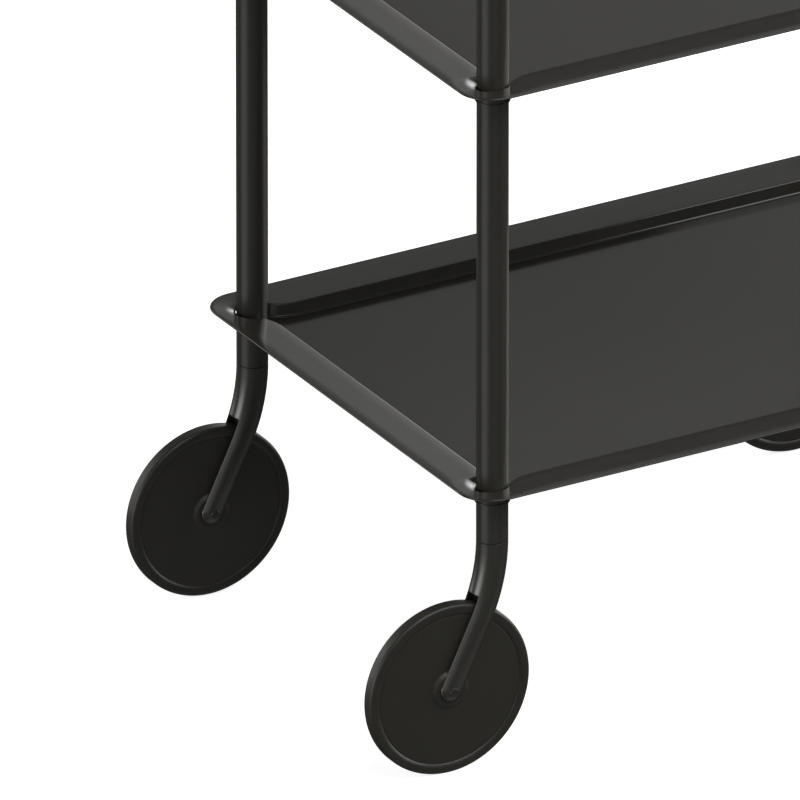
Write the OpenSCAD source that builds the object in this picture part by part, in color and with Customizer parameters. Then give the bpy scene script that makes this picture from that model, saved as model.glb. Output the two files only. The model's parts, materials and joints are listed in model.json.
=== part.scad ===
// Two-tier tray trolley on four swivelling casters.
// Two bent-tube hoops carry two pressed sheet-steel trays.
// X runs along the long side, Y across it and Z up. The wheels stand on Z = 0, and the origin is
// below the middle of the whole trolley's box, with all four wheels trailing towards -X.

/* [Frame] */
// Outside diameter of the frame tube
tube_d = 25; // [22:0.5:32]
// Wall of the frame tube
tube_wall = 2; // [1.2:0.1:2.5]
// Distance between the axes of the left and right posts
post_span_x = 531; // [350:1:800]
// Distance between the axes of the front and back posts
post_span_y = 372; // [250:1:550]
// Height of the posts' lower ends
post_foot_z = 189.5; // [184:0.5:215]
// Height of the handle bars' tops
handle_top_z = 735; // [680:1:950]
// Bend radius of the tube's centre line at the hoops' corners
hoop_bend_r = 60; // [40:1:100]

/* [Trays] */
// Height of the lower tray's rim
lower_rim_z = 236; // [222:1:300]
// Height from the lower tray's rim to the upper one's
tray_pitch = 339; // [220:1:400]
// Thickness of the tray sheet
sheet_t = 1.5; // [1:0.1:2.5]
// Depth of the recess below the rim
recess_depth = 12; // [8:0.5:18]
// How far the rim stands out past the posts' axes
rim_overhang = 31.5; // [24:0.5:50]
// Corner radius of the rim
rim_corner_r = 27.5; // [15:0.5:40]
// Distance from the posts' axis lines in to the recess's straight edges
edge_inset = 4; // [0:0.5:12]
// Gap between a post and the recess's edge in the pocket round it
pocket_gap = 2.2; // [1:0.1:6]
// Radius that blends a pocket into the straight edges
pocket_blend_r = 30; // [18:1:50]
// Radial gap between a post and its hole in a tray
post_hole_gap = 0.5; // [0.2:0.1:0.8]
// Width of the support ring under a tray, out from the post
ring_width = 1.3; // [1:0.1:2.5]
// Thickness of the support ring
ring_t = 1.2; // [0.8:0.1:2]

/* [Caster] */
// Outside diameter of the wheel
wheel_d = 142.4; // [110:0.4:160]
// Width of the tyre
tyre_w = 12; // [9:0.5:14]
// Thickness of the tyre, in from the tread
tyre_h = 8.8; // [5:0.1:14]
// Rounding of the tread's edges
tread_round = 3; // [1:0.25:4]
// Width of the tongue that keys the tyre to the wheel disc
tongue_w = 5; // [3:0.5:6]
// Height of the tongue
tongue_h = 2; // [1:0.25:3]
// Depth of the disc's face below the tyre's side
disc_recess = 1; // [0.5:0.25:2]
// Diameter of the hub boss
boss_d = 29; // [22:0.5:40]
// Radius of the fillet between the boss and the disc
boss_fillet = 2.4; // [1:0.1:2.5]
// Horizontal distance from the swivel axis back to the axle
trail = 40.4; // [25:0.2:48]
// Tilt of the leg's lower part from the vertical
leg_tilt = 25.6; // [22:0.1:32]
// Width of the slot that the wheel turns in
slot_w = 16; // [15:0.25:18]
// Gap between the tread and the slot's end
slot_gap = 7.3; // [4:0.1:9]

/* [Bearings and pins] */
// Diameter of the swivel stem
stem_d = 10; // [8:0.5:12]
// Length of the stem that is pressed into the leg
stem_grip = 22; // [15:1:28]
// Length of the swivel bush inside the post
bush_l = 30; // [20:1:38]
// Thickness of the swivel bush's flange
flange_t = 1; // [0.6:0.1:2]
// How far the flange stays inside the tube's outside
flange_setback = 0.4; // [0.2:0.1:1]
// Thickness of the clip on the stem
clip_t = 1; // [0.8:0.1:1.5]
// Width of the clip, out from the stem
clip_width = 3; // [2:0.25:4]
// Depth of the clip's groove
clip_groove = 0.7; // [0.4:0.1:1]
// Length of the stem past the clip
stem_tip = 3; // [2:0.5:5]
// Diameter of the axle
axle_d = 6; // [5:0.5:8]
// Diameter of the axle's head and cap
head_d = 7.6; // [7.5:0.1:11]
// Thickness of the axle's head and cap
head_t = 0.9; // [0.6:0.1:1.5]
// Depth of the flat that the head and the cap sit on, in from the leg's outside
spot_depth = 0.5; // [0.4:0.1:1]
// Radial gap between the head and the flat's edge
spot_gap = 0.25; // [0.1:0.05:0.5]
// Wall of the wheel's hub bush
hub_bush_wall = 2; // [1:0.25:3]
// Thickness of the washers beside the hub
washer_t = 0.3; // [0.2:0.05:0.5]
// Width of the washers, out from the axle
washer_width = 3; // [2:0.25:4]
// Radial clearance of a turning fit
fit_gap = 0.03; // [0.02:0.01:0.1]
// End clearance between faces that turn past each other
end_gap = 0.15; // [0.1:0.05:0.3]

/* [Hidden] */
$fn = 64;
tube_r = tube_d / 2;
tube_bore_d = tube_d - 2 * tube_wall;
wheel_r = wheel_d / 2;
tyre_in_r = wheel_r - tyre_h;
upper_rim_z = lower_rim_z + tray_pitch;

// The box runs from the trailing left wheels to the right edge of the trays
origin_shift = (trail + wheel_r - rim_overhang) / 2;
left_x = origin_shift - post_span_x / 2;
right_x = origin_shift + post_span_x / 2;
front_y = -post_span_y / 2;
back_y = post_span_y / 2;
CORNERS = [
    ["front_left", left_x, front_y],
    ["back_left", left_x, back_y],
    ["front_right", right_x, front_y],
    ["back_right", right_x, back_y]
];
CORNER_PARTS = [
    "swivel_bush", "caster_leg", "swivel_stem", "stem_clip", "axle",
    "axle_cap", "hub_washers", "hub_bush", "wheel_disc", "tyre"
];

// Pocket round a post: an arc about the post and two blend arcs, tangent to it and to the edges
pocket_r = tube_r + pocket_gap;
blend_offset = sqrt(pow(pocket_r + pocket_blend_r, 2) - pow(edge_inset - pocket_blend_r, 2));
blend_angle = asin((pocket_blend_r - edge_inset) / (pocket_r + pocket_blend_r));
ARC_STEPS = 10;

// Swivel joint, from the post's foot down
leg_top_z = post_foot_z - flange_t - end_gap;
bush_top_z = post_foot_z + bush_l;
clip_z = bush_top_z + end_gap;
stem_top_z = clip_z + clip_t + stem_tip;

// Leg: a bend that leads the tilted arm exactly to the axle
bend_r = (leg_top_z - wheel_r - trail / tan(leg_tilt)) / tan(leg_tilt / 2);
arm_l = (trail - bend_r * (1 - cos(leg_tilt))) / sin(leg_tilt);
// Overshoot of the cutting tools past the faces they cut
cut = 1;

// Hub: bush, boss and washers share the slot with an end gap on either side
hub_w = slot_w - 2 * (washer_t + end_gap);
disc_t = tyre_w - 2 * disc_recess;
hub_bush_d = axle_d + 2 * (fit_gap + hub_bush_wall);
seat_y = tube_r - spot_depth;

// Points of an arc about c, from angle a0 to a1
function arc(c, r, a0, a1, steps = ARC_STEPS) =
    [for (i = [0 : steps]) let (a = a0 + (a1 - a0) * i / steps) c + r * [cos(a), sin(a)]];

// Recess edge round one post, with the tray's middle towards +X and +Y, grown outward by grow
function pocket(grow) = concat(
    arc([blend_offset, edge_inset - pocket_blend_r], pocket_blend_r - grow, 90, 180 - blend_angle),
    arc([0, 0], pocket_r + grow, -blend_angle, blend_angle - 270, 2 * ARC_STEPS),
    arc([edge_inset - pocket_blend_r, blend_offset], pocket_blend_r - grow, blend_angle - 90, 0)
);

// Whole recess edge, corner by corner: each corner mirrors the pocket and keeps the loop's order
function mirrored(points, sx, sy) =
    let (placed = [for (p = points) [sx * (p[0] - post_span_x / 2), sy * (p[1] - post_span_y / 2)]])
    sx * sy > 0 ? placed : [for (i = [len(placed) - 1 : -1 : 0]) placed[i]];
function recess_points(grow) = concat(
    mirrored(pocket(grow), 1, 1),
    mirrored(pocket(grow), 1, -1),
    mirrored(pocket(grow), -1, -1),
    mirrored(pocket(grow), -1, 1)
);

module at_posts() {
    for (corner = CORNERS) translate([corner[1], corner[2], 0]) children();
}

// ---- Frame ----

// Bar that follows the hoop's centre line, of diameter d, its feet lengthened by extra
module hoop_bar(d, extra) {
    bar_z = handle_top_z - tube_r;
    bend_z = bar_z - hoop_bend_r;
    half_bar = post_span_y / 2 - hoop_bend_r;
    for (side = [-1, 1]) {
        translate([0, side * post_span_y / 2, post_foot_z - extra])
            cylinder(d = d, h = bend_z - post_foot_z + extra);
        translate([0, side * half_bar, bend_z])
            rotate([90, 0, 90])
                rotate([0, 0, side > 0 ? 0 : 90])
                    rotate_extrude(angle = 90) translate([hoop_bend_r, 0]) circle(d = d);
    }
    translate([0, half_bar, bar_z]) rotate([90, 0, 0]) cylinder(d = d, h = 2 * half_bar);
}

module hoop(x) {
    color("#2b2a29") translate([x, 0, 0]) difference() {
        hoop_bar(tube_d, 0);
        hoop_bar(tube_bore_d, cut);
    }
}

module rim_outline() {
    rim_x = post_span_x + 2 * rim_overhang;
    rim_y = post_span_y + 2 * rim_overhang;
    polygon(concat(
        arc([rim_x / 2 - rim_corner_r, rim_y / 2 - rim_corner_r], rim_corner_r, 0, 90),
        arc([rim_corner_r - rim_x / 2, rim_y / 2 - rim_corner_r], rim_corner_r, 90, 180),
        arc([rim_corner_r - rim_x / 2, rim_corner_r - rim_y / 2], rim_corner_r, 180, 270),
        arc([rim_x / 2 - rim_corner_r, rim_corner_r - rim_y / 2], rim_corner_r, 270, 360)
    ));
}

module tray(rim_z) {
    floor_z = rim_z - recess_depth;
    color("#333231") difference() {
        translate([origin_shift, 0, 0]) difference() {
            union() {
                translate([0, 0, rim_z - sheet_t]) linear_extrude(sheet_t) rim_outline();
                translate([0, 0, floor_z - sheet_t])
                    linear_extrude(recess_depth) polygon(recess_points(sheet_t));
            }
            translate([0, 0, floor_z])
                linear_extrude(recess_depth + cut) polygon(recess_points(0));
        }
        at_posts() translate([0, 0, floor_z - sheet_t - cut])
            cylinder(r = tube_r + post_hole_gap, h = recess_depth + sheet_t + 2 * cut);
    }
}

module tray_rings(rim_z) {
    ring_z = rim_z - recess_depth - sheet_t - ring_t;
    color("#2b2a29") at_posts() translate([0, 0, ring_z]) difference() {
        cylinder(r = tube_r + ring_width, h = ring_t);
        translate([0, 0, -cut]) cylinder(r = tube_r, h = ring_t + 2 * cut);
    }
}

// ---- Caster, drawn with its swivel axis on the Z axis ----

module swivel_bush() {
    color("#6f6e69") difference() {
        union() {
            translate([0, 0, post_foot_z]) cylinder(d = tube_bore_d, h = bush_l);
            translate([0, 0, post_foot_z - flange_t])
                cylinder(r = tube_r - flange_setback, h = flange_t);
        }
        translate([0, 0, post_foot_z - flange_t - cut])
            cylinder(r = stem_d / 2 + fit_gap, h = bush_l + flange_t + 2 * cut);
    }
}

module swivel_stem() {
    stem_foot_z = leg_top_z - stem_grip;
    color("#b9b9b6") difference() {
        translate([0, 0, stem_foot_z]) cylinder(d = stem_d, h = stem_top_z - stem_foot_z);
        translate([0, 0, clip_z]) difference() {
            cylinder(r = stem_d, h = clip_t);
            translate([0, 0, -cut]) cylinder(r = stem_d / 2 - clip_groove, h = clip_t + 2 * cut);
        }
    }
}

module stem_clip() {
    color("#8d8d8a") translate([0, 0, clip_z]) difference() {
        cylinder(r = stem_d / 2 + clip_width, h = clip_t);
        translate([0, 0, -cut]) cylinder(r = stem_d / 2 - clip_groove, h = clip_t + 2 * cut);
    }
}

// Cylinder along Y about the axle, centred on the wheel's middle plane
module about_axle(r, w) {
    translate([-trail, w / 2, wheel_r]) rotate([90, 0, 0]) cylinder(r = r, h = w);
}

module caster_leg() {
    color("#2b2a29") difference() {
        translate([-bend_r, 0, leg_top_z]) rotate([90, 0, 0]) rotate([0, 0, -leg_tilt]) union() {
            rotate_extrude(angle = leg_tilt) translate([bend_r, 0]) circle(r = tube_r);
            translate([bend_r, -arm_l, 0]) rotate([-90, 0, 0]) rotate_extrude() arm_section();
        }
        about_axle(wheel_r + slot_gap, slot_w);
        about_axle(axle_d / 2, tube_d + 2 * cut);
        for (side = [-1, 1]) translate([0, side * (seat_y + tube_r), 0])
            about_axle(head_d / 2 + spot_gap, tube_d);
        translate([0, 0, leg_top_z - stem_grip]) cylinder(d = stem_d, h = stem_grip + cut);
    }
}

// Half section of the arm, from the ball about the axle up to the bend
module arm_section() {
    square([tube_r, arm_l]);
    intersection() {
        circle(r = tube_r);
        translate([0, -tube_r]) square([tube_r, tube_r]);
    }
}

module axle() {
    color("#3a3a39") translate([-trail, 0, wheel_r]) rotate([90, 0, 0]) {
        translate([0, 0, -seat_y]) cylinder(d = axle_d, h = 2 * seat_y);
        translate([0, 0, seat_y]) cylinder(d = head_d, h = head_t);
    }
}

module axle_cap() {
    color("#3a3a39") translate([-trail, seat_y + head_t, wheel_r]) rotate([90, 0, 0])
        cylinder(d = head_d, h = head_t);
}

module hub_washers() {
    color("#8d8d8a") for (side = [-1, 1])
        translate([-trail, side * (slot_w - washer_t) / 2, wheel_r]) rotate([90, 0, 0])
            difference() {
                cylinder(r = axle_d / 2 + washer_width, h = washer_t, center = true);
                cylinder(r = axle_d / 2 + fit_gap, h = washer_t + cut, center = true);
            }
}

module hub_bush() {
    color("#6f6e69") translate([-trail, 0, wheel_r]) rotate([90, 0, 0]) difference() {
        cylinder(d = hub_bush_d, h = hub_w, center = true);
        cylinder(r = axle_d / 2 + fit_gap, h = hub_w + cut, center = true);
    }
}

// Section of the wheel disc above its middle plane, from the bush out to the tyre
function disc_half() =
    let (
        boss_r = boss_d / 2,
        rise = (hub_w - disc_t) / 2,
        fillet = min(boss_fillet, rise)
    )
    concat(
        [[hub_bush_d / 2, hub_w / 2], [boss_r, hub_w / 2]],
        arc([boss_r + fillet, disc_t / 2 + fillet], fillet, 180, 270, 5),
        [[tyre_in_r, disc_t / 2], [tyre_in_r, tongue_w / 2], [tyre_in_r - tongue_h, tongue_w / 2]]
    );

module wheel_disc() {
    upper = disc_half();
    lower = [for (i = [len(upper) - 1 : -1 : 0]) [upper[i][0], -upper[i][1]]];
    color("#242320") translate([-trail, 0, wheel_r]) rotate([90, 0, 0])
        rotate_extrude() polygon(concat(upper, lower));
}

module tyre() {
    flank = tyre_w / 2 - tread_round;
    round_r = wheel_r - tread_round;
    color("#2a2a29") translate([-trail, 0, wheel_r]) rotate([90, 0, 0])
        rotate_extrude() polygon(concat(
            [[tyre_in_r - tongue_h, -tongue_w / 2], [tyre_in_r, -tongue_w / 2]],
            [[tyre_in_r, -tyre_w / 2]],
            arc([round_r, -flank], tread_round, -90, 0, 5),
            arc([round_r, flank], tread_round, 0, 90, 5),
            [[tyre_in_r, tyre_w / 2]],
            [[tyre_in_r, tongue_w / 2], [tyre_in_r - tongue_h, tongue_w / 2]]
        ));
}

// Draws what belongs to one corner's post, such as part "tyre" of corner "front_left"
module corner_part(corner, part) {
    translate([corner[1], corner[2], 0]) children();
}

hoop(left_x);  // left_hoop
hoop(right_x);  // right_hoop
tray(lower_rim_z);  // lower_tray
tray(upper_rim_z);  // upper_tray
tray_rings(lower_rim_z);  // lower_tray_rings
tray_rings(upper_rim_z);  // upper_tray_rings
for (corner = CORNERS) {
    corner_part(corner, "swivel_bush") swivel_bush();
    corner_part(corner, "caster_leg") caster_leg();
    corner_part(corner, "swivel_stem") swivel_stem();
    corner_part(corner, "stem_clip") stem_clip();
    corner_part(corner, "axle") axle();
    corner_part(corner, "axle_cap") axle_cap();
    corner_part(corner, "hub_washers") hub_washers();
    corner_part(corner, "hub_bush") hub_bush();
    corner_part(corner, "wheel_disc") wheel_disc();
    corner_part(corner, "tyre") tyre();
}
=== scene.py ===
"""Two-tier tray trolley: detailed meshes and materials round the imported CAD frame."""
import json
import math

import bmesh
import bpy
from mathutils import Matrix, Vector


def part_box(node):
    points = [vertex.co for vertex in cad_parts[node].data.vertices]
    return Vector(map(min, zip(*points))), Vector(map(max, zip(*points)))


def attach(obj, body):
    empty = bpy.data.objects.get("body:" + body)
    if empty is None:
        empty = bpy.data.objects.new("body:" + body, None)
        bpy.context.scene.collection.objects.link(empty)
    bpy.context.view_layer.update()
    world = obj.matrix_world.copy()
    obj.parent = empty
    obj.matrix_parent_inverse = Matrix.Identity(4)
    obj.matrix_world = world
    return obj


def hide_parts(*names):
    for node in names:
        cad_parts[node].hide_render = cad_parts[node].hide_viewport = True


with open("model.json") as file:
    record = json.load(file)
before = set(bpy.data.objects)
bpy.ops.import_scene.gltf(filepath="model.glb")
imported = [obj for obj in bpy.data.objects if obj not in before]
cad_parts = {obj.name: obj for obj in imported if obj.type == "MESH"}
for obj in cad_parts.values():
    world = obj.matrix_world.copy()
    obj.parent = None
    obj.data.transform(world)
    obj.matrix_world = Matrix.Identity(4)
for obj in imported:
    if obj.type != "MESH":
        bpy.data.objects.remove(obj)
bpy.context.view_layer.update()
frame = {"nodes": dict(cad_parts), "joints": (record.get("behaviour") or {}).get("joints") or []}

# ---------------------------------------------------------------- sizes, in metres
MM = 0.001
CORNERS = ("front_left", "back_left", "front_right", "back_right")

hoop_low, hoop_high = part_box("left_hoop")
right_low, right_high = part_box("right_hoop")
tray_low, tray_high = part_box("lower_tray")
tyre_low, tyre_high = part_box("front_left_tyre")
disc_low, disc_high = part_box("front_left_wheel_disc")

TUBE_R = (hoop_high.x - hoop_low.x) / 2
TUBE_WALL = 2 * MM
POST_X = {"left": (hoop_low.x + hoop_high.x) / 2, "right": (right_low.x + right_high.x) / 2}
POST_Y = {"front": hoop_low.y + TUBE_R, "back": hoop_high.y - TUBE_R}
FOOT_Z = hoop_low.z
HANDLE_Z = hoop_high.z - TUBE_R
HOOP_BEND_R = 60 * MM
END_CHAMFER = 0.05 * MM

SHEET_T = 1.5 * MM
RECESS_DEPTH = 12 * MM
RIM_CORNER_R = 27.5 * MM
EDGE_INSET = 4 * MM
POCKET_GAP = 2.2 * MM
POCKET_BLEND_R = 30 * MM
HOLE_GAP = 0.9 * MM
HOLE_CUT = 60 * MM
OVERHANG = POST_X["left"] - tray_low.x
RIM_SLOPE = 2.5 / 35.5
RIM_EDGE_ROUND = 0.9 * MM
RIM_UNDER_ROUND = 0.3 * MM
SHORT_BEND_R = 3 * MM
LONG_BEND_R = 1.5 * MM
WALL_ANGLE = math.radians(68)
FILLET_R = 2.5 * MM
FLOOR_BAND = 0.6 * MM
DISH_R = 15 * MM
DISH_ANGLE = math.radians(40)

WHEEL_R = (tyre_high.z - tyre_low.z) / 2
TYRE_W = tyre_high.y - tyre_low.y
TYRE_IN_R = (disc_high.z - disc_low.z) / 2
TYRE_SHOULDER_R = 3 * MM
TYRE_ROLL_R = 5 * MM
TYRE_ROLL_ANGLE = 44
TONGUE_DEPTH = 2 * MM
TONGUE_HALF_W = 2.5 * MM
HUB_W = disc_high.y - disc_low.y
DISC_RECESS = 1 * MM
DISC_EDGE = ((2.2 * MM, 0), (1.2 * MM, 0.1 * MM), (0.4 * MM, 0.4 * MM), (0, 0.5 * MM))
SWELL_IN_R = 12.5 * MM
SWELL_OUT_R = 16.9 * MM
HUB_BORE_R = 5.03 * MM
HUB_CHAMFER = 0.3 * MM
LEG_TILT = math.radians(25.6)
LEG_TOP_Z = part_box("front_left_caster_leg")[1].z
SLOT_W = 16 * MM
SLOT_GAP = 7.3 * MM
LEG_EDGE_ROUND = 0.6 * MM
AXLE_R = 3 * MM
HEAD_R = 3.8 * MM
HEAD_T = 0.9 * MM
HEAD_ROUND = 0.6 * MM
SPOT_DEPTH = 0.5 * MM
SPOT_GAP = 0.25 * MM
SEAT_Y = TUBE_R - SPOT_DEPTH

ROUND = 72           # segments round a tube
WHEEL_ROUND = 160    # segments round a wheel
HEAD_SEGMENTS = 48   # segments round an axle


def corner_xy(corner):
    """The axis of the post at a corner, as (x, y)."""
    depth, side = corner.split("_")
    return POST_X[side], POST_Y[depth]


def axle_at(corner):
    """The wheel's centre, which is its joint's place."""
    for joint in frame["joints"]:
        if joint["name"] == corner + "_roll":
            return Vector(joint["pos_m"])


# ---------------------------------------------------------------- mesh helpers
def arc(cx, cy, radius, start, end, steps):
    """Points of an arc, from angle start to end, in degrees."""
    angles = [math.radians(start + (end - start) * i / steps) for i in range(steps + 1)]
    return [(cx + radius * math.cos(a), cy + radius * math.sin(a)) for a in angles]


def new_piece(name, bm):
    """Turns a bmesh into an object, with its normals outward."""
    bmesh.ops.recalc_face_normals(bm, faces=bm.faces)
    mesh = bpy.data.meshes.new(name)
    bm.to_mesh(mesh)
    bm.free()
    piece = bpy.data.objects.new(name, mesh)
    bpy.context.scene.collection.objects.link(piece)
    return piece


def join_rings(bm, rings, closed_along=False):
    """Quads between rings of the same number of points. Each ring is closed."""
    made = [[bm.verts.new(p) for p in ring] for ring in rings]
    pairs = list(zip(made, made[1:]))
    if closed_along:
        pairs.append((made[-1], made[0]))
    for low, high in pairs:
        for i in range(len(low)):
            j = (i + 1) % len(low)
            bm.faces.new((low[i], low[j], high[j], high[i]))
    return made


def smooth(piece, angle=32):
    """Smooth shading, with a crease wherever faces meet at more than the angle."""
    mesh = piece.data
    mesh.polygons.foreach_set("use_smooth", [True] * len(mesh.polygons))
    mesh.set_sharp_from_angle(angle=math.radians(angle))
    mesh.update()


def bake_modifiers(piece):
    """Replaces the mesh by its modified form, and leaves no modifier on the piece."""
    graph = bpy.context.evaluated_depsgraph_get()
    mesh = bpy.data.meshes.new_from_object(piece.evaluated_get(graph))
    piece.modifiers.clear()
    piece.data = mesh


def cut_with(piece, cutters):
    """Takes each cutter out of the piece, and deletes the cutters."""
    for cutter in cutters:
        step = piece.modifiers.new("cut", "BOOLEAN")
        step.operation = "DIFFERENCE"
        step.solver = "EXACT"
        step.object = cutter
    bake_modifiers(piece)
    for cutter in cutters:
        bpy.data.objects.remove(cutter)


def soften_edges(piece, width, segments=2, angle=60):
    """Rounds every edge sharper than the angle."""
    step = piece.modifiers.new("soften", "BEVEL")
    step.width = width
    step.segments = segments
    step.limit_method = "ANGLE"
    step.angle_limit = math.radians(angle)
    bake_modifiers(piece)


def rod(name, centre, radius, length, axis, segments=ROUND):
    """A closed cylinder along axis "Y" or "Z", centred on a point."""
    def place(a, s):
        x, y = radius * math.cos(a), radius * math.sin(a)
        return centre + (Vector((x, s, y)) if axis == "Y" else Vector((x, y, s)))

    bm = bmesh.new()
    angles = [2 * math.pi * i / segments for i in range(segments)]
    rings = join_rings(bm, [[place(a, s) for a in angles] for s in (-length / 2, length / 2)])
    for ring in rings:
        bm.faces.new(ring)
    return new_piece(name, bm)


def lathe(name, centre, profile, segments):
    """Turns a closed profile of (radius, y) points about an axis along Y."""
    bm = bmesh.new()
    rings = []
    for i in range(segments):
        a = 2 * math.pi * i / segments
        x, z = math.cos(a), math.sin(a)
        rings.append([centre + Vector((r * x, y, r * z)) for r, y in profile])
    join_rings(bm, rings, closed_along=True)
    return new_piece(name, bm)


def turned_solid(name, centre, profile, segments):
    """Turns an open profile of (radius, y) points about an axis along Y, with flat ends."""
    bm = bmesh.new()
    angles = [2 * math.pi * i / segments for i in range(segments)]
    rings = join_rings(bm, [
        [centre + Vector((r * math.cos(a), y, r * math.sin(a))) for a in angles] for r, y in profile
    ])
    for ring in (rings[0], rings[-1]):
        bm.faces.new(ring)
    return new_piece(name, bm)


# ---------------------------------------------------------------- materials
def base_material(name, color, roughness):
    """A Principled material, with its nodes, its links and its shader."""
    made = bpy.data.materials.new(name)
    made.use_nodes = True
    nodes, links = made.node_tree.nodes, made.node_tree.links
    shader = nodes["Principled BSDF"]
    shader.inputs["Base Color"].default_value = (*color, 1)
    shader.inputs["Roughness"].default_value = roughness
    return made, nodes, links, shader


def noise(nodes, links, scale, detail=3.0, stretch=(1, 1, 1)):
    """Noise in object space, where one unit is a metre."""
    place = nodes.new("ShaderNodeTexCoord")
    mapping = nodes.new("ShaderNodeMapping")
    mapping.inputs["Scale"].default_value = stretch
    texture = nodes.new("ShaderNodeTexNoise")
    texture.inputs["Scale"].default_value = scale
    texture.inputs["Detail"].default_value = detail
    links.new(place.outputs["Object"], mapping.inputs["Vector"])
    links.new(mapping.outputs["Vector"], texture.inputs["Vector"])
    return texture.outputs["Fac"]


def vary(nodes, links, source, target, low, high, start=0.3, end=0.7):
    """Drives a number socket from low to high by a noise."""
    spread = nodes.new("ShaderNodeMapRange")
    spread.inputs["From Min"].default_value = start
    spread.inputs["From Max"].default_value = end
    spread.inputs["To Min"].default_value = low
    spread.inputs["To Max"].default_value = high
    links.new(source, spread.inputs["Value"])
    links.new(spread.outputs["Result"], target)


def tint(nodes, links, source, target, dark, light, start=0.3, end=0.7):
    """Drives a colour socket from dark to light by a noise."""
    ramp = nodes.new("ShaderNodeValToRGB")
    ramp.color_ramp.elements[0].position = start
    ramp.color_ramp.elements[1].position = end
    ramp.color_ramp.elements[0].color = (*dark, 1)
    ramp.color_ramp.elements[1].color = (*light, 1)
    links.new(source, ramp.inputs["Fac"])
    links.new(ramp.outputs["Color"], target)


def bump(nodes, links, source, shader, strength, distance):
    """Raises the surface by a noise."""
    raised = nodes.new("ShaderNodeBump")
    raised.inputs["Strength"].default_value = strength
    raised.inputs["Distance"].default_value = distance
    links.new(source, raised.inputs["Height"])
    links.new(raised.outputs["Normal"], shader.inputs["Normal"])


def powder_coat(name, color, roughness, gloss=1.0):
    """Baked powder paint: a fine orange peel, slightly uneven gloss and tone."""
    made, nodes, links, shader = base_material(name, color, roughness)
    shader.inputs["Specular IOR Level"].default_value = gloss
    dark = tuple(c * 0.95 for c in color)
    light = tuple(c * 1.05 for c in color)
    tint(nodes, links, noise(nodes, links, 9, 4), shader.inputs["Base Color"], dark, light)
    fine = noise(nodes, links, 900, 2)
    vary(nodes, links, noise(nodes, links, 60, 3), shader.inputs["Roughness"],
         roughness - 0.02, roughness + 0.02)
    bump(nodes, links, fine, shader, 0.03, 0.00002)
    return made


def moulded_plastic(name, color, roughness):
    """Moulded plastic with a fine spark-eroded grain."""
    made, nodes, links, shader = base_material(name, color, roughness)
    dark = tuple(c * 0.95 for c in color)
    light = tuple(c * 1.05 for c in color)
    tint(nodes, links, noise(nodes, links, 25, 3), shader.inputs["Base Color"], dark, light)
    vary(nodes, links, noise(nodes, links, 300, 2), shader.inputs["Roughness"],
         roughness - 0.02, roughness + 0.02)
    bump(nodes, links, noise(nodes, links, 1800, 1), shader, 0.05, 0.00001)
    return made


def rubber(name, color, roughness):
    """Smooth tyre rubber, faintly clouded where it has rolled."""
    made, nodes, links, shader = base_material(name, color, roughness)
    dark = tuple(c * 0.88 for c in color)
    light = tuple(c * 1.14 for c in color)
    tint(nodes, links, noise(nodes, links, 45, 5), shader.inputs["Base Color"], dark, light)
    vary(nodes, links, noise(nodes, links, 120, 4), shader.inputs["Roughness"],
         roughness - 0.05, roughness + 0.05)
    bump(nodes, links, noise(nodes, links, 1200, 2), shader, 0.06, 0.00002)
    return made


def turned_steel(name, color, roughness):
    """Bright steel with fine turning marks."""
    made, nodes, links, shader = base_material(name, color, roughness)
    shader.inputs["Metallic"].default_value = 1.0
    marks = noise(nodes, links, 400, 2, stretch=(0.05, 0.05, 8))
    vary(nodes, links, marks, shader.inputs["Roughness"], roughness - 0.06, roughness + 0.08)
    bump(nodes, links, marks, shader, 0.1, 0.00003)
    return made


PAINT = (0.038, 0.0365, 0.0305)
frame_paint = powder_coat("frame_paint", PAINT, 0.25)
tray_paint = powder_coat("tray_paint", (0.0345, 0.033, 0.0275), 0.17, 0.6)
caster_paint = powder_coat("caster_paint", PAINT, 0.25)
axle_paint = powder_coat("axle_paint", (0.032, 0.030, 0.026), 0.25)
wheel_plastic = moulded_plastic("wheel_plastic", (0.033, 0.0315, 0.0255), 0.44)
tyre_rubber = rubber("tyre_rubber", (0.033, 0.0315, 0.026), 0.40)
bush_plastic = moulded_plastic("bush_plastic", (0.030, 0.0285, 0.024), 0.35)
steel = turned_steel("steel", (0.55, 0.55, 0.54), 0.3)


def place_piece(piece, material, body, slot, *nodes):
    """Gives a piece its material and its body, and hides the CAD nodes that it stands for. The slot
    is not used.
    """
    piece.data.materials.clear()
    piece.data.materials.append(material)
    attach(piece, body)
    if nodes:
        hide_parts(*nodes)
    return piece


# ---------------------------------------------------------------- hoops
def hoop_path():
    """Centre line of a hoop from the front foot to the back one, as (y, z) and the angle up."""
    front, back = POST_Y["front"], POST_Y["back"]
    bend_z = HANDLE_Z - HOOP_BEND_R
    path = [(front, z, 90) for z in (FOOT_Z, (FOOT_Z + bend_z) / 2)]
    for i in range(17):
        a = 180 - 90 * i / 16
        y = front + HOOP_BEND_R * (1 + math.cos(math.radians(a)))
        path.append((y, bend_z + HOOP_BEND_R * math.sin(math.radians(a)), a - 90))
    path += [(front + back - y, z, -angle) for y, z, angle in reversed(path)]
    return path


def hoop_ring(x, station, radius, slide=0.0):
    """One ring of the tube, square to the path and slid along it."""
    y, z, angle = station
    along = Vector((0, math.cos(math.radians(angle)), math.sin(math.radians(angle))))
    across = Vector((0, -along.z, along.y))
    centre = Vector((x, y, z)) + along * slide
    turns = [2 * math.pi * i / ROUND for i in range(ROUND)]
    side = Vector((1, 0, 0))
    return [centre + radius * (math.cos(t) * side + math.sin(t) * across) for t in turns]


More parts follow.
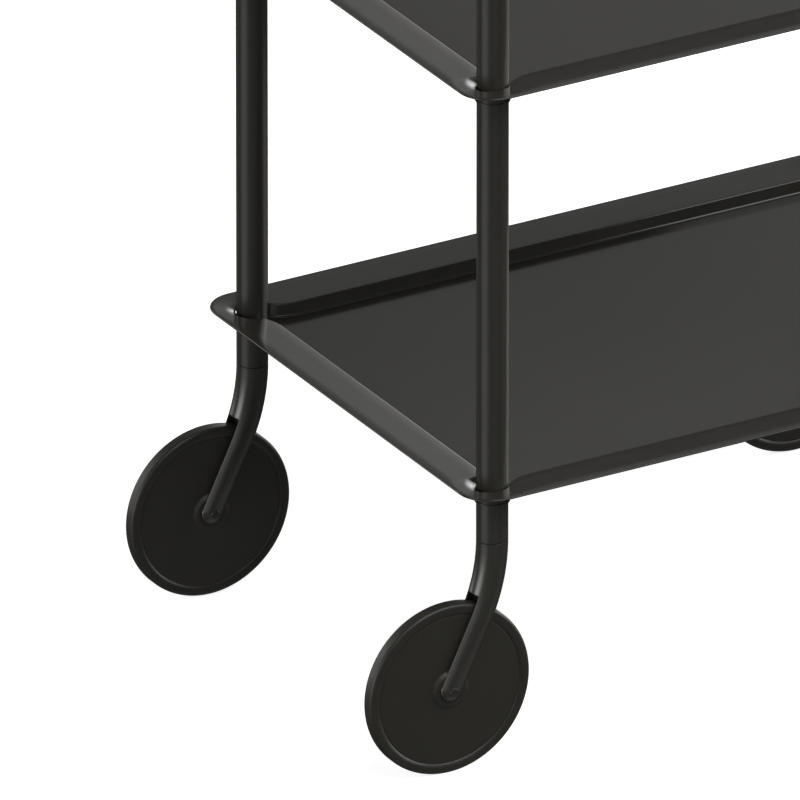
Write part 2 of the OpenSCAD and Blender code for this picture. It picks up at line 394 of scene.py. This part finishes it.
def make_hoop(side):
    """A bent tube with its bore, and a small chamfer at each foot."""
    x, path = POST_X[side], hoop_path()
    bore = TUBE_R - TUBE_WALL
    rings = [hoop_ring(x, path[0], TUBE_R - END_CHAMFER)]
    rings.append(hoop_ring(x, path[0], TUBE_R, END_CHAMFER))
    rings += [hoop_ring(x, station, TUBE_R) for station in path[1:-1]]
    rings.append(hoop_ring(x, path[-1], TUBE_R, -END_CHAMFER))
    rings.append(hoop_ring(x, path[-1], TUBE_R - END_CHAMFER))
    rings += [hoop_ring(x, station, bore) for station in reversed(path)]
    bm = bmesh.new()
    join_rings(bm, rings, closed_along=True)
    piece = new_piece(side + "_hoop_tube", bm)
    smooth(piece)
    return place_piece(piece, frame_paint, "frame", "frame_tube", side + "_hoop")


# ---------------------------------------------------------------- trays
def recess_corner():
    """Edge of the recess round a post at (0, 0), the tray's middle towards +X and +Y.
    Each row is a point, its inward normal, and how far the rim is dished towards the post."""
    pocket_r = TUBE_R + POCKET_GAP
    side = EDGE_INSET - POCKET_BLEND_R
    reach = math.sqrt((pocket_r + POCKET_BLEND_R) ** 2 - side ** 2)
    lean = math.degrees(math.asin(-side / (pocket_r + POCKET_BLEND_R)))
    # centre, radius, start and end angle, steps, the normal's side, first and last dish
    long_blend = (reach, side, POCKET_BLEND_R, 90, 180 - lean, 16, 1, 0, 0)
    pocket = (0, 0, pocket_r, -lean, lean - 270, 28, -1, -0.75, 1.75)
    short_blend = (side, reach, POCKET_BLEND_R, lean - 90, 0, 16, 1, 1, -0.6)
    rows = []
    for cx, cy, radius, start, end, steps, inward, first, last in (long_blend, pocket, short_blend):
        for i, (x, y) in enumerate(arc(cx, cy, radius, start, end, steps)):
            normal = Vector(((x - cx) / radius, (y - cy) / radius)) * inward
            share = min(1.0, max(0.0, first + (last - first) * i / steps))
            rows.append((Vector((x, y)), normal, share * share * (3 - 2 * share)))
    return rows


def rim_point(p, inset):
    """The point of the rim's edge nearest to p, both measured from the post, inset inward."""
    corner = RIM_CORNER_R - OVERHANG
    if p.x < corner and p.y < corner:
        centre = Vector((corner, corner))
        return centre + (p - centre).normalized() * (RIM_CORNER_R - inset)
    if p.y < p.x:
        return Vector((p.x, inset - OVERHANG))
    return Vector((inset - OVERHANG, p.y))


def around_tray(rows, place):
    """Takes place(row) at all four corners, in order round the tray, as points from its middle."""
    half_x = (POST_X["right"] - POST_X["left"]) / 2
    half_y = (POST_Y["back"] - POST_Y["front"]) / 2
    points = []
    for sx, sy in ((1, 1), (1, -1), (-1, -1), (-1, 1)):
        ring = [place(*row) for row in rows]
        if sx * sy < 0:
            ring.reverse()
        points += [Vector((sx * (x - half_x), sy * (y - half_y), z)) for x, y, z in ring]
    return points


def press_profile(rim_drop, dish, bend_r):
    """Section from the rim's inner edge to the floor: (inward, height, slope) for each point.
    A dished rim first turns down in a wide shoulder, then the bend, wall and fillet follow.
    The bend ends where a plain rim's would, so a dished one starts further out."""
    start = math.atan(RIM_SLOPE)
    turn = start + (DISH_ANGLE - start) * dish
    inward, height, rows = 0.0, -rim_drop, []
    for radius, low, high, steps in ((DISH_R, start, turn, 8), (bend_r, turn, WALL_ANGLE, 8)):
        for i in range(steps):
            a = low + (high - low) * i / steps
            rows.append((
                inward + radius * (math.sin(a) - math.sin(low)),
                height - radius * (math.cos(low) - math.cos(a)),
                a,
            ))
        inward += radius * (math.sin(high) - math.sin(low))
        height -= radius * (math.cos(low) - math.cos(high))
    rows.append((inward, height, WALL_ANGLE))
    fillet_drop = FILLET_R * (1 - math.cos(WALL_ANGLE))
    foot = inward + (RECESS_DEPTH + height - fillet_drop) / math.tan(WALL_ANGLE)
    for i in range(7):
        a = WALL_ANGLE * (1 - i / 6)
        run = foot + FILLET_R * (math.sin(WALL_ANGLE) - math.sin(a))
        rows.append((run, FILLET_R * (1 - math.cos(a)) - RECESS_DEPTH, a))
    rows.append((rows[-1][0] + FLOOR_BAND, -RECESS_DEPTH, 0.0))
    plain_run = bend_r * (math.sin(WALL_ANGLE) - math.sin(start))
    return [(run + plain_run - inward, z, a) for run, z, a in rows]


def make_tray(name, rim_z):
    """A pressed tray: rim, bend, drafted wall, fillet and floor, on both faces of the sheet."""
    rows = recess_corner()
    steps = len(press_profile(0.0, 0.0, LONG_BEND_R))

    def rim_ring(inset, z):
        return around_tray(rows, lambda p, n, dish: (*rim_point(p, inset), z))

    def bend_radius(n):
        return LONG_BEND_R + (SHORT_BEND_R - LONG_BEND_R) * n.x * n.x

    def rim_inner(p, n, dish):
        return p + n * press_profile(0.0, dish, bend_radius(n))[0][0]

    def flange_ring(share, lower):
        def place(p, n, dish):
            edge = rim_point(p, RIM_EDGE_ROUND)
            spot = edge.lerp(rim_inner(p, n, dish), share)
            return (*spot, -RIM_SLOPE * (spot - edge).length - lower)
        return around_tray(rows, place)

    def pressed_ring(step, lower):
        def place(p, n, dish):
            drop = RIM_SLOPE * (rim_inner(p, n, dish) - rim_point(p, RIM_EDGE_ROUND)).length
            inward, z, slope = press_profile(drop, dish, bend_radius(n))[step]
            spot = p + n * (inward - lower * math.sin(slope))
            return (*spot, z - lower * math.cos(slope))
        return around_tray(rows, place)

    edge = arc(0, 0, RIM_EDGE_ROUND, 0, 90, 6)
    under = arc(0, 0, RIM_UNDER_ROUND, 0, 90, 3)
    rings = [pressed_ring(i, SHEET_T) for i in range(steps - 1, -1, -1)]
    rings += [flange_ring(share, SHEET_T) for share in (0.75, 0.5, 0.25)]
    rings += [rim_ring(RIM_EDGE_ROUND, -SHEET_T)]
    rings += [
        rim_ring(RIM_UNDER_ROUND - x, RIM_UNDER_ROUND - y - SHEET_T)
        for x, y in reversed(under)
    ]
    rings += [rim_ring(RIM_EDGE_ROUND - x, y - RIM_EDGE_ROUND) for x, y in edge]
    rings += [flange_ring(share, 0) for share in (0.25, 0.5, 0.75)]
    rings += [pressed_ring(i, 0) for i in range(steps)]
    middle = Vector(((POST_X["left"] + POST_X["right"]) / 2, 0, rim_z))
    bm = bmesh.new()
    made = join_rings(bm, [[middle + p for p in ring] for ring in rings])
    for floor in (made[0], made[-1]):
        bm.faces.new(floor)
    piece = new_piece(name + "_sheet", bm)
    holes = [
        rod("hole", Vector((*corner_xy(c), rim_z)), TUBE_R + HOLE_GAP, HOLE_CUT, "Z")
        for c in CORNERS
    ]
    cut_with(piece, holes)
    smooth(piece, 40)
    return place_piece(piece, tray_paint, "frame", "tray_sheet", name)


# ---------------------------------------------------------------- casters
def leg_rings(axle, top):
    """Rings of the leg, from its top round the bend and down the arm to the ball end."""
    fall = top.z - axle.z
    trail = top.x - axle.x
    bend_r = (fall - trail / math.tan(LEG_TILT)) / math.tan(LEG_TILT / 2)
    turns = [2 * math.pi * i / ROUND for i in range(ROUND)]

    def ring(centre, tilt, radius):
        across = Vector((math.cos(tilt), 0, -math.sin(tilt)))
        side = Vector((0, 1, 0))
        return [centre + radius * (math.cos(t) * across + math.sin(t) * side) for t in turns]

    below = top - Vector((0, 0, END_CHAMFER))
    rings = [ring(top, 0, TUBE_R - END_CHAMFER), ring(below, 0, TUBE_R)]
    for i in range(1, 21):
        tilt = LEG_TILT * i / 20
        spot = top - bend_r * Vector((1 - math.cos(tilt), 0, math.sin(tilt)))
        rings.append(ring(spot, tilt, TUBE_R))
    down = Vector((-math.sin(LEG_TILT), 0, -math.cos(LEG_TILT)))
    for i in range(15):
        a = math.radians(6 * i)
        rings.append(ring(axle + down * TUBE_R * math.sin(a), LEG_TILT, TUBE_R * math.cos(a)))
    return rings


def make_leg(corner):
    """A solid bent leg, slotted round the wheel, with a flat for the axle's head and cap."""
    axle = axle_at(corner)
    top = Vector((*corner_xy(corner), LEG_TOP_Z))
    bm = bmesh.new()
    made = join_rings(bm, leg_rings(axle, top))
    for end in (made[0], made[-1]):
        bm.faces.new(end)
    piece = new_piece(corner + "_leg", bm)
    slot = rod("slot", axle, WHEEL_R + SLOT_GAP, SLOT_W, "Y", WHEEL_ROUND)
    offset = Vector((0, SEAT_Y + TUBE_R, 0))
    seats = [
        rod("seat", axle + side * offset, HEAD_R + SPOT_GAP, 2 * TUBE_R, "Y")
        for side in (-1, 1)
    ]
    cut_with(piece, [slot, *seats])
    soften_edges(piece, LEG_EDGE_ROUND)
    smooth(piece, 40)
    return place_piece(piece, caster_paint, corner + "_caster", "caster_metal",
                       corner + "_caster_leg")


def make_axle(corner):
    """The axle with its domed head, and the matching cap on its other end."""
    axle = axle_at(corner)
    crown = arc(HEAD_R - HEAD_ROUND, HEAD_T - HEAD_ROUND, HEAD_ROUND, 0, 90, 6)
    head = [(HEAD_R, 0), *crown]
    pin = [(AXLE_R, SEAT_Y), (AXLE_R, -SEAT_Y)]
    with_head = pin + [(r, -SEAT_Y - y) for r, y in head]
    piece = turned_solid(corner + "_axle_pin", axle, with_head, HEAD_SEGMENTS)
    smooth(piece)
    place_piece(piece, axle_paint, corner + "_caster", "axle_metal", corner + "_axle")
    cap_side = [(r, SEAT_Y + y) for r, y in head]
    cap = turned_solid(corner + "_axle_cap_nut", axle, cap_side, HEAD_SEGMENTS)
    smooth(cap)
    place_piece(cap, axle_paint, corner + "_caster", "axle_metal", corner + "_axle_cap")


def mirrored_profile(half):
    """Closes a half section above the middle plane with its mirror image."""
    return half + [(r, -y) for r, y in reversed(half)]


def make_tyre(corner):
    """A tyre with round shoulders, its side rolled in to a step round the disc."""
    half_w, shoulder, roll = TYRE_W / 2, TYRE_SHOULDER_R, TYRE_ROLL_R
    tongue = [(TYRE_IN_R - TONGUE_DEPTH, TONGUE_HALF_W), (TYRE_IN_R, TONGUE_HALF_W)]
    roll_r = TYRE_IN_R + roll * math.sin(math.radians(TYRE_ROLL_ANGLE))
    side = arc(roll_r, half_w - roll, roll, 90 + TYRE_ROLL_ANGLE, 90, 10)
    tread = arc(WHEEL_R - shoulder, half_w - shoulder, shoulder, 90, 0, 12)
    piece = lathe(corner + "_tyre_ring", axle_at(corner),
                  mirrored_profile(tongue + side + tread), WHEEL_ROUND)
    smooth(piece, 50)
    return place_piece(piece, tyre_rubber, corner + "_wheel", "tyre_rubber", corner + "_tyre")


def make_disc(corner):
    """The wheel disc: flat web, and a hub that swells up out of it in a soft curve."""
    hub, face = HUB_W / 2, TYRE_W / 2 - DISC_RECESS
    half = [(HUB_BORE_R, hub - HUB_CHAMFER), (HUB_BORE_R + HUB_CHAMFER, hub)]
    for i in range(15):
        share = i / 14
        drop = share * share * (3 - 2 * share)
        half.append((SWELL_IN_R + (SWELL_OUT_R - SWELL_IN_R) * share, hub - (hub - face) * drop))
    half += [(TYRE_IN_R - inset, face - fall) for inset, fall in DISC_EDGE]
    half += [(TYRE_IN_R, TONGUE_HALF_W), (TYRE_IN_R - TONGUE_DEPTH, TONGUE_HALF_W)]
    piece = lathe(corner + "_disc", axle_at(corner), mirrored_profile(half), WHEEL_ROUND)
    smooth(piece, 50)
    return place_piece(piece, wheel_plastic, corner + "_wheel", "wheel_plastic",
                       corner + "_wheel_disc")


# ---------------------------------------------------------------- the CAD nodes that stay
def dress_cad_node(node, material):
    """Gives a CAD node that stays in view its material."""
    for place in frame["nodes"][node].material_slots:
        place.material = material


for name in ("lower_tray_rings", "upper_tray_rings"):
    dress_cad_node(name, frame_paint)
for corner in CORNERS:
    dress_cad_node(corner + "_swivel_bush", bush_plastic)
    dress_cad_node(corner + "_hub_bush", bush_plastic)
    dress_cad_node(corner + "_hub_washers", bush_plastic)
    dress_cad_node(corner + "_swivel_stem", steel)
    dress_cad_node(corner + "_stem_clip", steel)

make_hoop("left")
make_hoop("right")
make_tray("lower_tray", tray_high.z)
make_tray("upper_tray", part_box("upper_tray")[1].z)
for corner in CORNERS:
    make_leg(corner)
    make_axle(corner)
    make_disc(corner)
    make_tyre(corner)


# ---------------------------------------------------------------- stage, camera and light
FLOOR_HALF = 12.0
FLOOR_GLOW = 0.78

VIEW_AZIMUTH = math.radians(-30)
VIEW_ELEVATION = math.radians(25)
LENS = 1600
SENSOR_WIDTH = 36
FRAME_WIDTH = 0.6194

# the middle of the picture: how far it lies right of, above and behind the front left post's
# place in the lower tray's rim, in metres
AIM_RIGHT = -0.0710
AIM_UP = 0.0648
AIM_BEHIND = 0.15


def make_floor():
    """A plain pale floor, hidden from reflections and indirect light on the trolley."""
    bm = bmesh.new()
    turns = ((-1, -1), (1, -1), (1, 1), (-1, 1))
    bm.faces.new([bm.verts.new((FLOOR_HALF * x, FLOOR_HALF * y, 0)) for x, y in turns])
    floor = new_piece("floor", bm)
    made, _, _, shader = base_material("floor_paint", (0.9, 0.9, 0.9), 0.9)
    shader.inputs["Specular IOR Level"].default_value = 0.1
    shader.inputs["Emission Color"].default_value = (1, 1, 1, 1)
    shader.inputs["Emission Strength"].default_value = FLOOR_GLOW
    floor.data.materials.append(made)
    floor.visible_glossy = False
    floor.visible_diffuse = False


def make_camera():
    """A long lens, so that parallel edges stay parallel, from the left of the front."""
    back = Vector((
        math.sin(VIEW_AZIMUTH) * math.cos(VIEW_ELEVATION),
        -math.cos(VIEW_AZIMUTH) * math.cos(VIEW_ELEVATION),
        math.sin(VIEW_ELEVATION),
    ))
    right = Vector((math.cos(VIEW_AZIMUTH), math.sin(VIEW_AZIMUTH), 0))
    up = back.cross(right)
    data = bpy.data.cameras.new("camera")
    data.sensor_width = SENSOR_WIDTH
    data.lens = LENS
    distance = FRAME_WIDTH * LENS / SENSOR_WIDTH
    mark = Vector((*corner_xy("front_left"), tray_high.z - SHEET_T))
    aim = mark + AIM_RIGHT * right + AIM_UP * up - AIM_BEHIND * back
    camera = bpy.data.objects.new("camera", data)
    camera.location = aim + back * distance
    camera.rotation_mode = "QUATERNION"
    camera.rotation_quaternion = (-back).to_track_quat("-Z", "Y")
    data.clip_end = distance + 40
    bpy.context.scene.collection.objects.link(camera)
    bpy.context.scene.camera = camera


def sky_direction(azimuth, elevation):
    """A unit vector, with azimuth from +X towards +Y, both in degrees."""
    a, e = math.radians(azimuth), math.radians(elevation)
    return Vector((math.cos(a) * math.cos(e), math.sin(a) * math.cos(e), math.sin(e)))


def number(nodes, links, operation, first, second):
    """A math node. Each input is a socket or a number."""
    step = nodes.new("ShaderNodeMath")
    step.operation = operation
    for i, value in enumerate((first, second)):
        if isinstance(value, (int, float)):
            step.inputs[i].default_value = value
        else:
            links.new(value, step.inputs[i])
    return step.outputs[0]


def along(nodes, links, ray, direction):
    """How far the ray runs along a direction."""
    dot = nodes.new("ShaderNodeVectorMath")
    dot.operation = "DOT_PRODUCT"
    dot.inputs[1].default_value = direction
    links.new(ray, dot.inputs[0])
    return dot.outputs["Value"]


def soft_panel(nodes, links, ray, azimuth, elevation, width, height, edge, strength):
    """Light of a soft-edged panel of the studio, its half sizes and edge in degrees."""
    centre = sky_direction(azimuth, elevation)
    across = Vector((-math.sin(math.radians(azimuth)), math.cos(math.radians(azimuth)), 0))
    sides = []
    for direction, half in ((across, width), (centre.cross(across), height)):
        run = number(nodes, links, "ABSOLUTE", along(nodes, links, ray, direction), 0)
        fade = nodes.new("ShaderNodeMapRange")
        fade.interpolation_type = "SMOOTHSTEP"
        fade.inputs["From Min"].default_value = math.sin(math.radians(half + edge))
        fade.inputs["From Max"].default_value = math.sin(math.radians(half - edge))
        links.new(run, fade.inputs["Value"])
        sides.append(fade.outputs["Result"])
    shape = number(nodes, links, "MULTIPLY", sides[0], sides[1])
    facing = number(nodes, links, "GREATER_THAN", along(nodes, links, ray, centre), 0)
    lit = number(nodes, links, "MULTIPLY", shape, facing)
    return number(nodes, links, "MULTIPLY", lit, strength)


STUDIO_LIGHT = 0.045

# azimuth, elevation, half width, half height, soft edge, all in degrees, and the strength
STUDIO_PANELS = (
    (183, 6, 15, 15, 12, 3.6),
    (183, -28, 22, 14, 10, 0.35),
    (220, 13, 24, 12, 8, 0.55),
    (8, 13, 42.5, 14, 6, 3.3),
    (75, -25, 42, 10, 8, 0.06),
    (58, 43, 26, 19, 8, 0.26),
    (238, -20, 30, 20, 3, 0.05),
    (121, 10, 16, 19, 8, 1.6),
    (-68, 54, 26, 16, 8, 3.1),
    (-60, -60, 30, 25, 15, 0.2),
    (0, 90, 24, 24, 12, 0.15),
)


def make_world():
    """A dark studio with soft light panels, and plain white behind what the camera sees."""
    world = bpy.data.worlds.new("studio")
    bpy.context.scene.world = world
    world.use_nodes = True
    nodes, links = world.node_tree.nodes, world.node_tree.links
    nodes.clear()
    ray = nodes.new("ShaderNodeTexCoord").outputs["Generated"]
    total = STUDIO_LIGHT
    for panel in STUDIO_PANELS:
        total = number(nodes, links, "ADD", total, soft_panel(nodes, links, ray, *panel))
    soft = nodes.new("ShaderNodeBackground")
    links.new(total, soft.inputs["Strength"])
    white = nodes.new("ShaderNodeBackground")
    mix = nodes.new("ShaderNodeMixShader")
    output = nodes.new("ShaderNodeOutputWorld")
    soft.inputs["Color"].default_value = (1, 1, 1, 1)
    white.inputs["Color"].default_value = (1, 1, 1, 1)
    links.new(nodes.new("ShaderNodeLightPath").outputs["Is Camera Ray"], mix.inputs["Fac"])
    links.new(soft.outputs["Background"], mix.inputs[1])
    links.new(white.outputs["Background"], mix.inputs[2])
    links.new(mix.outputs["Shader"], output.inputs["Surface"])


make_floor()
make_camera()
make_world()
bpy.context.scene.view_settings.view_transform = "Standard"
